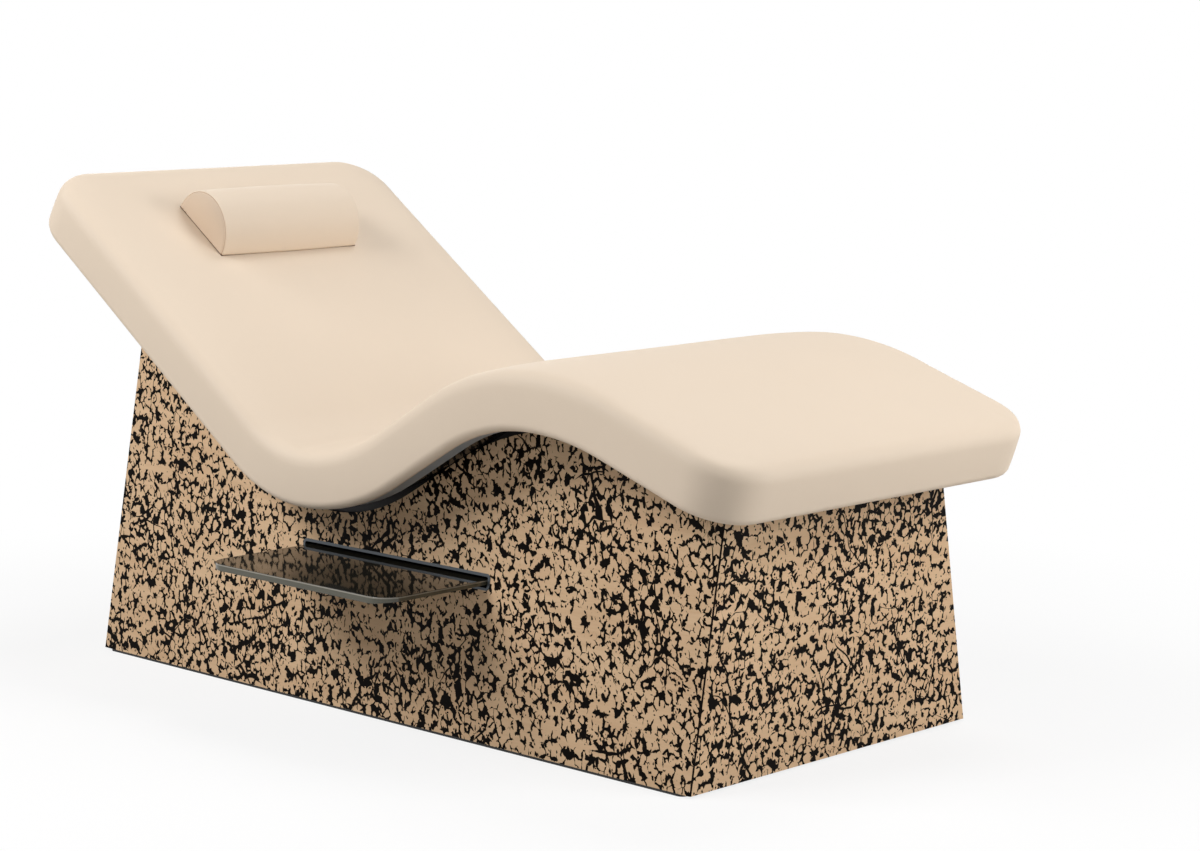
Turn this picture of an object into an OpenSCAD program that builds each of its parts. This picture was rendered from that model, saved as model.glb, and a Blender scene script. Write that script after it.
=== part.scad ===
// Spa relaxation lounger: a wave mattress on a clad base, with a sliding side tray and a head bolster.
// Units are millimetres. +X points to the foot end, +Y to the far side and +Z up.
// The origin is the centre of the base on the floor. The tray is drawn pulled out.

/* [Base] */
// Length of the base at the floor
base_length = 1500; // [1300:10:1700]
// Width of the base at the floor
base_width = 710; // [640:10:780]
// Inward lean of the two long walls, in degrees
wall_lean = 9.8; // [5:0.2:12]
// Thickness of the printed outer panels
panel_t = 10; // [6:1:14]
// Thickness of the dark boards behind the panels
liner_t = 15; // [12:1:20]
// Bevel on the outer corners of the panels
corner_bevel = 2.2; // [0.5:0.1:3]
// Thickness of the floor board inside the walls
floor_t = 18; // [15:1:25]
// Height of the floor board's rim, seen as a dark line under the panels
floor_rim_t = 4; // [2:0.5:6]
// Set-back of that rim from the long walls' outer faces
floor_rim_inset = 0.5; // [0.5:0.5:4]
// Set-back of that rim from the ends
floor_end_inset = 16; // [4:1:20]
// Radius of the rim's corners
floor_corner_r = 12; // [4:1:30]
// Distance from the middle to each bulkhead
bulkhead_x = 430; // [380:10:500]
// Thickness of the bulkheads
bulkhead_t = 18; // [12:1:25]
// Side of the square corner battens
batten_w = 28; // [20:1:36]

/* [Wave] */
// Place along X of the lowest point of the mattress's underside
seat_low_x = -124; // [-180:1:-60]
// Height of that point above the floor
seat_low_z = 356; // [330:1:400]
// How far the mattress's lower edge reaches past the base at the head
head_overhang = 149; // [100:1:200]
// How far the mattress's lower edge reaches past the base at the foot
foot_overhang = 90; // [50:1:140]
// Slope of the back, in degrees
back_angle = 35; // [28:0.5:40]
// Radius of the underside between the back and the lowest point
valley_back_r = 320; // [250:5:400]
// Radius of the underside between the lowest point and the rise
valley_front_r = 458; // [380:2:540]
// Slope of the rise under the thighs, in degrees
rise_angle = 30.2; // [24:0.2:34]
// Straight length of the rise
rise_length = 156; // [120:1:200]
// Radius of the underside between the rise and the top of the knee
knee_back_r = 364; // [300:2:440]
// Radius of the underside between the top of the knee and the leg
knee_front_r = 512; // [420:2:600]
// Slope of the leg, in degrees
leg_angle = 18.6; // [12:0.2:24]

/* [Mattress] */
// Width of the mattress at its widest
mattress_w = 806; // [740:2:880]
// Thickness of the mattress at the end of its rounded edge
mattress_t = 101; // [90:1:130]
// Height of the crown in the middle of the top
crown_h = 4.5; // [1:0.5:8]
// Distance from the outline over which the top rises to its crown
crown_run = 150; // [110:5:200]
// Radius of the top edge
top_edge_r = 32; // [24:1:48]
// Radius of the corners in plan
plan_corner_r = 97; // [80:1:130]
// How far the sides draw in from the widest line to the lower edge
side_draft = 1.3; // [0.5:0.1:8]
// Radius of the lower edge
low_edge_r = 16; // [8:0.5:22]
// Width of the flat under the lower edge, round the shell
skirt_flat = 4; // [2:0.5:8]

/* [Shell] */
// Thickness of the shell plate
shell_t = 10; // [6:1:14]
// Height of the plate's underside above the mattress's lower edge
shell_lift = 14; // [10:1:20]
// Width of the thicker rim under the plate's edge
shell_rim_w = 35; // [20:1:50]
// Height of the rim's underside above the mattress's lower edge
shell_rim_lift = 1; // [0:0.5:4]
// Depth of the cleats under the shell
cleat_h = 30; // [24:1:40]
// Width of the cleats
cleat_w = 30; // [24:1:40]
// Shank radius of the bolts that hold the shell
bolt_r = 4; // [3:0.5:5]
// Depth of the bolts' holes in the plate
bolt_bite = 8; // [4:1:9]

/* [Panel top] */
// Drop of the panels' lowest point below the mattress's lowest point
panel_drop = 21; // [14:1:30]
// Shift of the panels' lowest point towards the head
panel_shift = 28; // [10:1:40]
// Radius of the panels' top between the back and its lowest point
panel_valley_back_r = 90; // [60:5:140]
// Radius of the panels' top between its lowest point and the rise
panel_valley_front_r = 360; // [320:5:400]
// Slope of the rise of the panels' top, in degrees
panel_rise_angle = 32; // [28:0.5:35]
// Straight length of that rise
panel_rise_length = 125; // [100:1:160]
// Radius of the panels' top between the rise and the knee
panel_knee_back_r = 500; // [440:5:560]
// Radius of the panels' top between the knee and the leg
panel_knee_front_r = 1000; // [800:10:1200]

/* [Tray] */
// Place along X of the middle of the slot
slot_x = 19; // [-60:1:80]
// Height of the middle of the slot
slot_z = 266; // [240:1:280]
// Clearance between the tray and each end of the slot
slot_play = 4; // [2:0.5:8]
// Clear height of the slot
slot_h = 18; // [16:0.5:24]
// Corner radius of the slot
slot_r = 3; // [1:0.5:6]
// Width of the metal flange round the slot
flange_w = 5; // [3:0.5:10]
// How far the flange stands proud of the panel
flange_t = 1.5; // [1:0.5:3]
// Wall of the flange's neck
neck_t = 1.2; // [1:0.1:2]
// Width of the tray
tray_w = 458; // [390:2:530]
// Depth of the tray from front to back
tray_depth = 330; // [300:5:380]
// Thickness of the tray
tray_t = 8.5; // [6:0.5:10]
// Radius of the tray's front corners
tray_corner_r = 40; // [20:1:60]
// How far the tray stands out of the wall when pulled out
tray_out = 228; // [180:1:240]
// How far the tray travels
tray_travel = 226; // [170:1:240]
// How far the middle of the tray lies below the middle of the slot
tray_low = 0.7; // [0:0.1:1.5]
// Thickness of the board that carries the runners
deck_t = 12; // [9:1:18]

/* [Bolster] */
// Distance of the bolster's middle from the head end, along the back
bolster_down = 215; // [180:1:300]
// Shift of the bolster's middle along Y
bolster_y = -9.5; // [-30:0.5:30]
// Length of the bolster over its swollen end faces
bolster_length = 347; // [290:1:430]
// Radius of the half-round cushion at its ends
bolster_r = 73; // [60:1:90]
// Extra radius at the middle of the cushion
bolster_crown = 2; // [0:0.5:5]
// Radius of the seam at the cushion's ends
bolster_edge_r = 4; // [1:0.5:8]
// How far the cushion's end faces swell
bolster_dome = 6; // [0:0.5:12]
// Thickness of the board in the cushion's base
bolster_board_t = 6; // [4:1:9]
// Thickness of the grip pad under the bolster
grip_pad_t = 2; // [1:0.5:4]

/* [Hidden] */

// Clearances
seat_gap = 0.2;
soft_gap = 0.3;
slide_gap = 0.3;
trim_gap = 0.2;
glue_gap = 0.1;
side_gap = 0.5;
overrun = 1;

// Smoothness of round stretches
facet_angle = 4;
corner_steps = 6;
edge_steps = 4;
round_fn = 48;

half_length = base_length / 2;
half_width = base_width / 2;
wall_t = panel_t + liner_t;
inner_x = half_length - wall_t;

// Height of the mattress's top in its middle, and the place of the ring half way up its crown
mattress_top = mattress_t + crown_h;
crown_share = 0.5;

// Bulk of the bolts' heads
bolt_head_r = 1.75 * bolt_r;
bolt_head_h = 1.1 * bolt_r;
bolt_clear_r = bolt_r + slide_gap;
// Places of the bolts along the clear stretches of the head's and the foot's cleats
bolt_shares = [[0.1, 0.7], [0.3, 0.95]];

// Wave of the mattress's underside: lowest point, then angles, radii and the rise's length
seat_wave = [[seat_low_x, seat_low_z], back_angle, valley_back_r, valley_front_r, rise_angle,
    rise_length, knee_back_r, knee_front_r, leg_angle];
// Wave of the panels' top, a little lower and nearer the head
panel_wave = [[seat_low_x - panel_shift, seat_low_z - panel_drop], back_angle, panel_valley_back_r,
    panel_valley_front_r, panel_rise_angle, panel_rise_length, panel_knee_back_r,
    panel_knee_front_r, leg_angle];

// Length of an arc of a given radius and angle in degrees
function arc_length(r, angle) = r * angle * PI / 180;

// End of an arc that starts at p with heading from and ends with heading to
function arc_end(p, r, from, to) =
    let (k = to > from ? r : -r)
    [p[0] + k * (sin(to) - sin(from)), p[1] - k * (cos(to) - cos(from))];

// Stretches of a wave, each as [start length, start point, heading, curvature].
// Length is counted along the wave from the foot of the straight back.
function wave_stretches(w) =
    let (low = w[0], back = w[1], r1 = w[2], r2 = w[3], rise = w[4], run = w[5], r3 = w[6], r4 = w[7])
    let (start = [low[0] - r1 * sin(back), low[1] + r1 * (1 - cos(back))])
    let (s2 = arc_length(r1, back), s3 = s2 + arc_length(r2, rise), s4 = s3 + run)
    let (s5 = s4 + arc_length(r3, rise), s6 = s5 + arc_length(r4, w[8]))
    let (p3 = arc_end(low, r2, 0, rise), p4 = p3 + run * [cos(rise), sin(rise)])
    let (p5 = arc_end(p4, r3, rise, 0), p6 = arc_end(p5, r4, 0, -w[8]))
    [[0, start, -back, 0], [0, start, -back, 1 / r1], [s2, low, 0, 1 / r2], [s3, p3, rise, 0],
        [s4, p4, rise, -1 / r3], [s5, p5, 0, -1 / r4], [s6, p6, -w[8], 0]];

// Stretch that holds length s of a wave
function stretch_at(w, s) =
    let (all = wave_stretches(w))
    all[max([for (i = [0 : len(all) - 1]) if (i == 0 || s >= all[i][0] && s >= 0) i])];

// Heading at length s of a wave
function wave_heading(w, s) =
    let (g = stretch_at(w, s))
    g[2] + g[3] * (s - g[0]) * 180 / PI;

// Point at length s of a wave, n above it
function wave_point(w, s, n = 0) =
    let (g = stretch_at(w, s), d = s - g[0], a = g[2] + g[3] * d * 180 / PI)
    let (p = g[3] == 0
        ? g[1] + d * [cos(a), sin(a)]
        : g[1] + [sin(a) - sin(g[2]), cos(g[2]) - cos(a)] / g[3])
    p + n * [-sin(a), cos(a)];

// Lengths along a wave where its outline has points
function wave_stations(w) =
    let (all = wave_stretches(w))
    [for (i = [1 : len(all) - 1])
        let (last = i == len(all) - 1, g = all[i], span = last ? 0 : all[i + 1][0] - g[0])
        let (count = last || g[3] == 0 ? 1 : ceil(abs(g[3]) * span * 180 / PI / facet_angle))
        for (k = [0 : count - 1]) g[0] + span * k / count];

// Lengths along the mattress's wave where its leg and its two ends lie
leg_start = wave_stretches(seat_wave)[6][0];
mattress_head = (-half_length - head_overhang - wave_point(seat_wave, 0)[0]) / cos(back_angle);
mattress_foot = leg_start
    + (half_length + foot_overhang - wave_point(seat_wave, leg_start)[0]) / cos(leg_angle);

// Place of a long wall's plane, d inside its outer face, at height z
function wall_y(d, z) = -half_width + d / cos(wall_lean) + z * tan(wall_lean);

// Clear length of the slot
slot_w = tray_w + 2 * slot_play;

// Tray heights, and places along Y when it is pulled out
tray_z = slot_z - tray_low - tray_t / 2;
tray_top = tray_z + tray_t;
tray_front_y = wall_y(0, tray_z + tray_t / 2) - tray_out;
tray_rear_y = tray_front_y + tray_depth;

// Runner section, from the tray's edge outwards
lining_t = 1;
channel_t = 2;
channel_grip = 6;
channel_foot = 14;
lining_low = tray_z - slide_gap - lining_t;
lining_high = tray_top + slide_gap + lining_t;
channel_low = lining_low - channel_t;
channel_high = lining_high + channel_t;
lining_out = side_gap + lining_t;
channel_out = lining_out + channel_t;
runner_front_y = wall_y(wall_t, channel_high) + side_gap;
buffer_l = 8;
buffer_y = tray_rear_y + tray_travel + slide_gap;
runner_rear_y = buffer_y + buffer_l;
screw_r = 1.8;
screw_head_r = 3.5;
screw_head_h = 2.2;
screw_l = 10;
screw_shares = [0.12, 0.5, 0.88];
stop_bar_d = 18;
stop_bar_h = 6;
stop_reach = 14;
stop_l = 20;
stop_h = 5;
deck_margin = 30;
deck_rear_y = runner_rear_y + deck_margin;
bearer_w = 20;
bearer_h = 30;

// Grip pad and board of the bolster
grip_pad_inset = 1;
bolster_board_inset = 8;
cushion_n = mattress_top + soft_gap + grip_pad_t + glue_gap;

// A rectangle with round corners, centred
module rounded_rect(w, h, r) {
    square([w - 2 * r, h], center = true);
    square([w, h - 2 * r], center = true);
    for (x = [-1, 1], y = [-1, 1])
        translate([x * (w / 2 - r), y * (h / 2 - r)]) circle(r = r, $fn = round_fn);
}

// Space below a wave, n above it
module under_wave(w, n = 0) {
    reach = half_length;
    stations = concat([-reach], wave_stations(w), [wave_stretches(w)[6][0] + reach]);
    line = [for (s = stations) wave_point(w, s, n)];
    ground = [[line[len(line) - 1][0], 0], [line[0][0], 0]];
    rotate([90, 0, 0])
        linear_extrude(height = base_width, center = true) polygon(concat(line, ground));
}

// Space that a board's top may fill: under the panels' wave and under the shell
module under_panel_top() {
    intersection() {
        under_wave(panel_wave);
        under_wave(seat_wave, shell_lift - seat_gap);
    }
}

// Frame of the near wall: X along it, Y into the base and Z up its slope
module wall_frame() {
    translate([0, -half_width, 0]) rotate([-wall_lean, 0, 0]) children();
}

// A plan outline of the near wall's frame, carried up along the wall's slope
module up_the_wall(points) {
    wall_frame() translate([0, 0, -base_width])
        linear_extrude(height = base_length + base_width) polygon(points);
}

// Space above height z
module above(z) {
    translate([-base_length, -base_width, z]) cube([2 * base_length, 2 * base_width, base_length]);
}

// Space between the long walls, d inside their outer faces, and x0 to x1 along X
module between_walls(d, x0, x1) {
    outline = [[x0, d], [x1, d], [x1, base_width], [x0, base_width]];
    intersection() {
        up_the_wall(outline);
        mirror([0, 1, 0]) up_the_wall(outline);
    }
}

// Horizontal passage through the near wall, larger than the clear slot by grow
module slot_passage(grow = 0) {
    translate([slot_x, 0, slot_z]) rotate([90, 0, 0])
        linear_extrude(height = half_width + overrun)
            rounded_rect(slot_w + 2 * grow, slot_h + 2 * grow, slot_r + grow);
}

// Printed panel of the near wall without its slot, mitred at both ends
module side_panel() {
    e = corner_bevel;
    outline = [[-half_length + e, 0], [half_length - e, 0], [half_length - e / 2, e / 2],
        [half_length - panel_t, panel_t], [-half_length + panel_t, panel_t],
        [-half_length + e / 2, e / 2]];
    intersection() {
        up_the_wall(outline);
        under_panel_top();
        above(floor_rim_t);
    }
}

// Printed panel of an end, mitred to both long walls: end is -1 at the head and 1 at the foot
module end_panel(end) {
    e = corner_bevel;
    face = end * half_length;
    back = end * (half_length - panel_t);
    outline = [[face, e], [face - end * e / 2, e / 2], [back, panel_t], [back, base_width],
        [face, base_width]];
    intersection() {
        up_the_wall(outline);
        mirror([0, 1, 0]) up_the_wall(outline);
        under_panel_top();
        above(floor_rim_t);
    }
}

// Dark board behind the near panel, as long as the space between the end panels
module side_liner() {
    x = half_length - panel_t;
    intersection() {
        up_the_wall([[-x, panel_t], [x, panel_t], [x, wall_t], [-x, wall_t]]);
        under_wave(seat_wave, shell_lift - seat_gap);
        above(floor_rim_t);
    }
}

// Dark board behind an end panel, from x0 to x1, between the side liners
module end_liner(x0, x1) {
    intersection() {
        between_walls(wall_t, x0, x1);
        under_wave(seat_wave, shell_lift - seat_gap);
        above(floor_rim_t);
    }
}

// Board inside the walls, with a thin rim under them
module floor_board() {
    color([0.07, 0.07, 0.07]) {
        linear_extrude(height = floor_rim_t)
            rounded_rect(base_length - 2 * floor_end_inset, base_width - 2 * floor_rim_inset,
                floor_corner_r);
        intersection() {
            between_walls(wall_t + seat_gap, -inner_x + seat_gap, inner_x - seat_gap);
            translate([-inner_x, -half_width, 0]) cube([2 * inner_x, base_width, floor_t]);
        }
    }
}

module near_side_panel() {
    color([0.78, 0.65, 0.47]) difference() {
        side_panel();
        slot_passage(neck_t + trim_gap);
    }
}

module far_side_panel() {
    color([0.78, 0.65, 0.47]) mirror([0, 1, 0]) side_panel();
}

module head_end_panel() {
    color([0.78, 0.65, 0.47]) end_panel(-1);
}

module foot_end_panel() {
    color([0.78, 0.65, 0.47]) end_panel(1);
}

module near_side_liner() {
    color([0.10, 0.09, 0.09]) difference() {
        side_liner();
        slot_passage(neck_t + trim_gap);
    }
}

module far_side_liner() {
    color([0.10, 0.09, 0.09]) mirror([0, 1, 0]) side_liner();
}

module head_end_liner() {
    color([0.10, 0.09, 0.09]) end_liner(-half_length + panel_t, -inner_x);
}

module foot_end_liner() {
    color([0.10, 0.09, 0.09]) end_liner(inner_x, half_length - panel_t);
}

// Corner posts that join the boards, under the cleats' level
module corner_battens() {
    x = inner_x - batten_w;
    color([0.72, 0.58, 0.40])
        for (side = [0, 1], end = [0, 1])
            mirror([0, side, 0]) intersection() {
                up_the_wall([[end ? x : -inner_x, wall_t], [end ? inner_x : -x, wall_t],
                    [end ? inner_x : -x, wall_t + batten_w], [end ? x : -inner_x, wall_t + batten_w]]);
                under_wave(seat_wave, shell_lift - seat_gap - cleat_h);
                above(floor_t);
            }
}

// Cross board from wall to wall with its middle at x
module bulkhead(x) {
    intersection() {
        between_walls(wall_t, x - bulkhead_t / 2, x + bulkhead_t / 2);
        under_wave(seat_wave, shell_lift - seat_gap);
        above(floor_t);
    }
}

module head_bulkhead() {
    color([0.62, 0.48, 0.32]) bulkhead(-bulkhead_x);
}

module foot_bulkhead() {
    color([0.62, 0.48, 0.32]) bulkhead(bulkhead_x);
}

// Ends of the cleats' stretches along X: the head pair and the foot pair
cleat_spans = [[-inner_x, -bulkhead_x - bulkhead_t / 2],
    [wave_point(seat_wave, leg_start, shell_lift)[0], inner_x]];

// Length along the seat wave of a place x on a straight stretch that starts at s
function straight_length(x, s) =
    let (p = wave_point(seat_wave, s, shell_lift), a = wave_heading(seat_wave, s))
    s + (x - p[0]) / cos(a);

// Clear stretches of the cleats along X, where the bolts' heads pass the battens and the bulkhead.
// On the back the bolts lean towards the head end.
bolt_lean = (cleat_h + bolt_head_h) * sin(back_angle);
bolt_spans = [[cleat_spans[0][0] + batten_w + bolt_lean + bolt_head_r, cleat_spans[0][1] - bolt_head_r],
    [cleat_spans[1][0], cleat_spans[1][1] - batten_w - bolt_head_r]];

// Places of the bolts as lengths along the seat wave
function bolt_lengths() =
    [for (i = [0, 1], share = bolt_shares[i])
        let (span = bolt_spans[i], s = i == 0 ? -overrun : leg_start + overrun)
        straight_length(span[0] + (span[1] - span[0]) * share, s)];

// Moves to length s of the seat wave, n above it, with X along the wave and Z square to it
module on_wave(s, n) {
    p = wave_point(seat_wave, s, n);
    translate([p[0], 0, p[1]]) rotate([0, -wave_heading(seat_wave, s), 0]) children();
}

// Place of a bolt across the base, in the middle of the cleat
function bolt_y(s) = wall_y(wall_t + cleat_w / 2, wave_point(seat_wave, s, shell_lift - cleat_h / 2)[1]);

// Bars along the walls that carry the shell
module shell_cleats() {
    color([0.72, 0.58, 0.40])
        for (side = [0, 1], span = cleat_spans)
            mirror([0, side, 0]) difference() {
                intersection() {
                    up_the_wall([[span[0], wall_t], [span[1], wall_t],
                        [span[1], wall_t + cleat_w], [span[0], wall_t + cleat_w]]);
                    under_wave(seat_wave, shell_lift - seat_gap);
                    difference() {
                        above(0);
                        under_wave(seat_wave, shell_lift - seat_gap - cleat_h);
                    }
                }
                for (s = bolt_lengths())
                    on_wave(s, shell_lift - cleat_h - seat_gap - overrun)
                        translate([0, bolt_y(s), 0])
                            cylinder(r = bolt_clear_r, h = cleat_h + 2 * overrun, $fn = round_fn);
            }
}

// Bolts from the cleats up into the shell
module shell_bolts() {
    color([0.62, 0.63, 0.65])
        for (side = [0, 1], s = bolt_lengths())
            mirror([0, side, 0]) on_wave(s, shell_lift - cleat_h - seat_gap)
                translate([0, bolt_y(s), 0]) {
                    cylinder(r = bolt_r, h = cleat_h + bolt_bite, $fn = round_fn);
                    translate([0, 0, -bolt_head_h])
                        cylinder(r = bolt_head_r, h = bolt_head_h, $fn = round_fn);
                }
}

// Least corner radius of an outline that lies far inside the mattress's
inner_corner_r = 20;

// Half outline of a wave piece, laid flat as [length, y], from the head's middle to the foot's.
// It is inset by d from the mattress's widest outline.
function half_outline(d) =
    let (r = max(plan_corner_r - d, inner_corner_r), w = mattress_w / 2 - d - r)
    let (head = mattress_head + d + r, foot = mattress_foot - d - r)
    concat(
        [for (k = [0 : corner_steps]) let (a = 180 - 90 * k / corner_steps)
            [head + r * cos(a), w + r * sin(a)]],
        [for (s = wave_stations(seat_wave)) [s, w + r]],
        [for (k = [0 : corner_steps]) let (a = 90 - 90 * k / corner_steps)
            [foot + r * cos(a), w + r * sin(a)]]);

// Closed ring of points inset by d, n above the seat wave
function ring(d, n) =
    let (half = half_outline(d), count = len(half))
    [for (i = [0 : 2 * count - 1])
        let (q = i < count ? half[i] : half[2 * count - 1 - i], p = wave_point(seat_wave, q[0], n))
        [p[0], i < count ? q[1] : -q[1], p[1]]];

ring_count = 2 * len(half_outline(0));

// Faces of a band between rings a and b, counted by ring number
function band(a, b) =
    [for (i = [0 : ring_count - 1])
        let (j = (i + 1) % ring_count)
        each [[a * ring_count + i, a * ring_count + j, b * ring_count + j],
            [a * ring_count + i, b * ring_count + j, b * ring_count + i]]];

// Faces that close ring a from side to side
function cap(a, up) =
    [for (i = [0 : ring_count / 2 - 2])
        let (o = a * ring_count, p = o + i, q = o + ring_count - 1 - i)
        each up ? [[p, p + 1, q - 1], [p, q - 1, q]] : [[p + 1, p, q], [p + 1, q, q - 1]]];

// Solid between stacked rings, given as [inset, height], closed at the first and the last
module wave_solid(levels) {
    count = len(levels);
    polyhedron(
        points = [for (v = levels) each ring(v[0], v[1])],
        faces = concat(
            [for (i = [0 : count - 2]) each band(i, i + 1)],
            cap(0, false),
            cap(count - 1, true)));
}

// Solid ring whose section is a closed loop of [inset, height] corners
module wave_loop(levels) {
    count = len(levels);
    polyhedron(
        points = [for (v = levels) each ring(v[0], v[1])],
        faces = [for (i = [0 : count - 1]) each band(i, (i + 1) % count)]);
}

// Insets of the shell and of the recess that takes it
recess_inset = side_draft + low_edge_r + skirt_flat;
shell_inset = recess_inset + soft_gap;

// Dark plate bent to the mattress's wave
module support_shell() {
    color([0.13, 0.12, 0.12]) difference() {
        wave_solid([[shell_inset, shell_lift], [shell_inset, shell_lift + shell_t]]);
        for (side = [0, 1], s = bolt_lengths())
            mirror([0, side, 0]) on_wave(s, shell_lift - overrun)
                translate([0, bolt_y(s), 0])
                    cylinder(r = bolt_r + trim_gap, h = bolt_bite + overrun, $fn = round_fn);
    }
}

// Strip under the plate's edge that stiffens it
module shell_rim() {
    rim_top = shell_lift - glue_gap;
    color([0.27, 0.28, 0.30])
        wave_loop([[shell_inset + shell_rim_w, shell_rim_lift], [shell_inset, shell_rim_lift],
            [shell_inset, rim_top], [shell_inset + shell_rim_w, rim_top]]);
}

// Upholstered cushion with a round top edge, drawn-in sides and a recess for the shell
module mattress() {
    quarter = [for (k = [0 : edge_steps]) 90 * k / edge_steps];
    low_edge = [for (a = [0, 30, 60, 90])
        [side_draft + low_edge_r * (1 - sin(a)), low_edge_r * (1 - cos(a))]];
    top_edge = [for (a = quarter)
        [top_edge_r * (1 - cos(a)), mattress_t - top_edge_r * (1 - sin(a))]];
    recess_top = shell_lift + shell_t + soft_gap;
    slope = crown_run - top_edge_r;
    crown = [for (share = [crown_share, 1])
        [top_edge_r + slope * share, mattress_t + crown_h * (1 - (1 - share) * (1 - share))]];
    color([0.88, 0.81, 0.73])
        wave_solid(concat([[recess_inset, recess_top], [recess_inset, 0]], low_edge, top_edge, crown));
}

// Metal flange and neck round the slot
module slot_trim() {
    color([0.45, 0.49, 0.52]) difference() {
        union() {
            wall_frame() translate([slot_x, 0, slot_z / cos(wall_lean)]) rotate([90, 0, 0])
                linear_extrude(height = flange_t)
                    rounded_rect(slot_w + 2 * flange_w, (slot_h + 2 * flange_w) / cos(wall_lean),
                        slot_r + flange_w);
            intersection() {
                slot_passage(neck_t);
                up_the_wall([[-half_length, 0], [half_length, 0], [half_length, wall_t],
                    [-half_length, wall_t]]);
            }
        }
        slot_passage();
    }
}

// Board inside the base that carries the runners
module tray_deck() {
    x = bulkhead_x - bulkhead_t / 2;
    color([0.12, 0.11, 0.11]) difference() {
        intersection() {
            between_walls(wall_t, -x, x);
            translate([-x, -half_width, channel_low - deck_t])
                cube([2 * x, half_width + deck_rear_y, deck_t]);
        }
        at_runner_screws() translate([0, 0, -screw_l])
            cylinder(r = screw_r + trim_gap, h = screw_l + overrun, $fn = round_fn);
    }
}

// Battens on the bulkheads that the deck rests on
module deck_bearers() {
    x = bulkhead_x - bulkhead_t / 2;
    color([0.72, 0.58, 0.40])
        for (side = [0, 1]) mirror([side, 0, 0]) intersection() {
            between_walls(wall_t, x - bearer_w, x);
            translate([x - bearer_w, -half_width, channel_low - deck_t - bearer_h])
                cube([bearer_w, half_width + deck_rear_y, bearer_h]);
        }
}

// Moves to both long edges of the tray, with X pointing away from it
module at_tray_edges() {
    for (side = [0, 1])
        translate([slot_x, 0, 0]) mirror([side, 0, 0]) translate([tray_w / 2, 0, 0]) children();
}

// A section drawn in X and Z, carried along Y from y0 to y1
module along_y(y0, y1) {
    translate([0, y1, 0]) rotate([90, 0, 0]) linear_extrude(height = y1 - y0) children();
}

// Moves to each screw of the runners, at the top of the deck
module at_runner_screws() {
    run = runner_rear_y - runner_front_y;
    at_tray_edges()
        for (share = screw_shares)
            translate([channel_out + channel_foot / 2, runner_front_y + run * share, channel_low])
                children();
}

// Channels that hold the tray's long edges, each with a foot on the deck
module tray_runners() {
    color([0.70, 0.71, 0.72]) difference() {
        at_tray_edges() along_y(runner_front_y, runner_rear_y) {
            difference() {
                translate([-channel_grip, channel_low])
                    square([channel_grip + channel_out, channel_high - channel_low]);
                translate([-channel_grip - overrun, lining_low])
                    square([channel_grip + overrun + lining_out, lining_high - lining_low]);
            }
            translate([channel_out, channel_low]) square([channel_foot, channel_t]);
        }
        at_runner_screws() translate([0, 0, -overrun])
            cylinder(r = screw_r + trim_gap, h = channel_t + 2 * overrun, $fn = round_fn);
    }
}

// Thin linings in the channels that the tray slides on
module runner_linings() {
    color([0.16, 0.16, 0.17])
        at_tray_edges() along_y(runner_front_y, runner_rear_y) difference() {
            translate([-channel_grip, lining_low])
                square([channel_grip + lining_out, lining_high - lining_low]);
            translate([-channel_grip - overrun, lining_low + lining_t])
                square([channel_grip + overrun + side_gap, tray_t + 2 * slide_gap]);
        }
}

module runner_screws() {
    color([0.62, 0.63, 0.65]) at_runner_screws() {
        translate([0, 0, -screw_l]) cylinder(r = screw_r, h = screw_l + channel_t, $fn = round_fn);
        translate([0, 0, channel_t]) cylinder(r = screw_head_r, h = screw_head_h, $fn = round_fn);
    }
}

// Lugs on the channels that stop the bar when the tray is out
module runner_stops() {
    rear = tray_rear_y - stop_bar_d - slide_gap;
    color([0.10, 0.10, 0.11])
        at_tray_edges() along_y(rear - stop_l, rear) {
            translate([-channel_grip, channel_high]) square([channel_grip + channel_out, stop_h]);
            translate([-channel_grip - stop_reach, tray_top + side_gap])
                square([stop_reach - side_gap, channel_high + stop_h - tray_top - side_gap]);
            translate([-channel_grip - side_gap - overrun, channel_high])
                square([side_gap + 2 * overrun, stop_h]);
        }
}

// Rubber blocks in the channels that stop the tray when it is in
module rear_buffers() {
    color([0.08, 0.08, 0.08])
        at_tray_edges() along_y(buffer_y, runner_rear_y)
            translate([-channel_grip, tray_z - slide_gap])
                square([channel_grip + side_gap, tray_t + 2 * slide_gap]);
}

// Smoked plate with round front corners
module tray_plate() {
    r = tray_corner_r;
    color([0.22, 0.22, 0.20]) translate([slot_x, tray_front_y, tray_z])
        linear_extrude(height = tray_t) {
            translate([-tray_w / 2, r]) square([tray_w, tray_depth - r]);
            translate([-tray_w / 2 + r, 0]) square([tray_w - 2 * r, r]);
            for (side = [-1, 1])
                translate([side * (tray_w / 2 - r), r]) circle(r = r, $fn = 2 * round_fn);
        }
}

// Bar on the plate's rear edge that meets the stops
module tray_stop_bar() {
    w = tray_w - 2 * (channel_grip + side_gap);
    color([0.12, 0.12, 0.13])
        translate([slot_x - w / 2, tray_rear_y - stop_bar_d, tray_top])
            cube([w, stop_bar_d, stop_bar_h]);
}

// Moves to the middle of the bolster's foot, n above the underside of the back
module on_back(n) {
    on_wave(mattress_head + bolster_down, n) translate([0, bolster_y, 0]) children();
}

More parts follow.
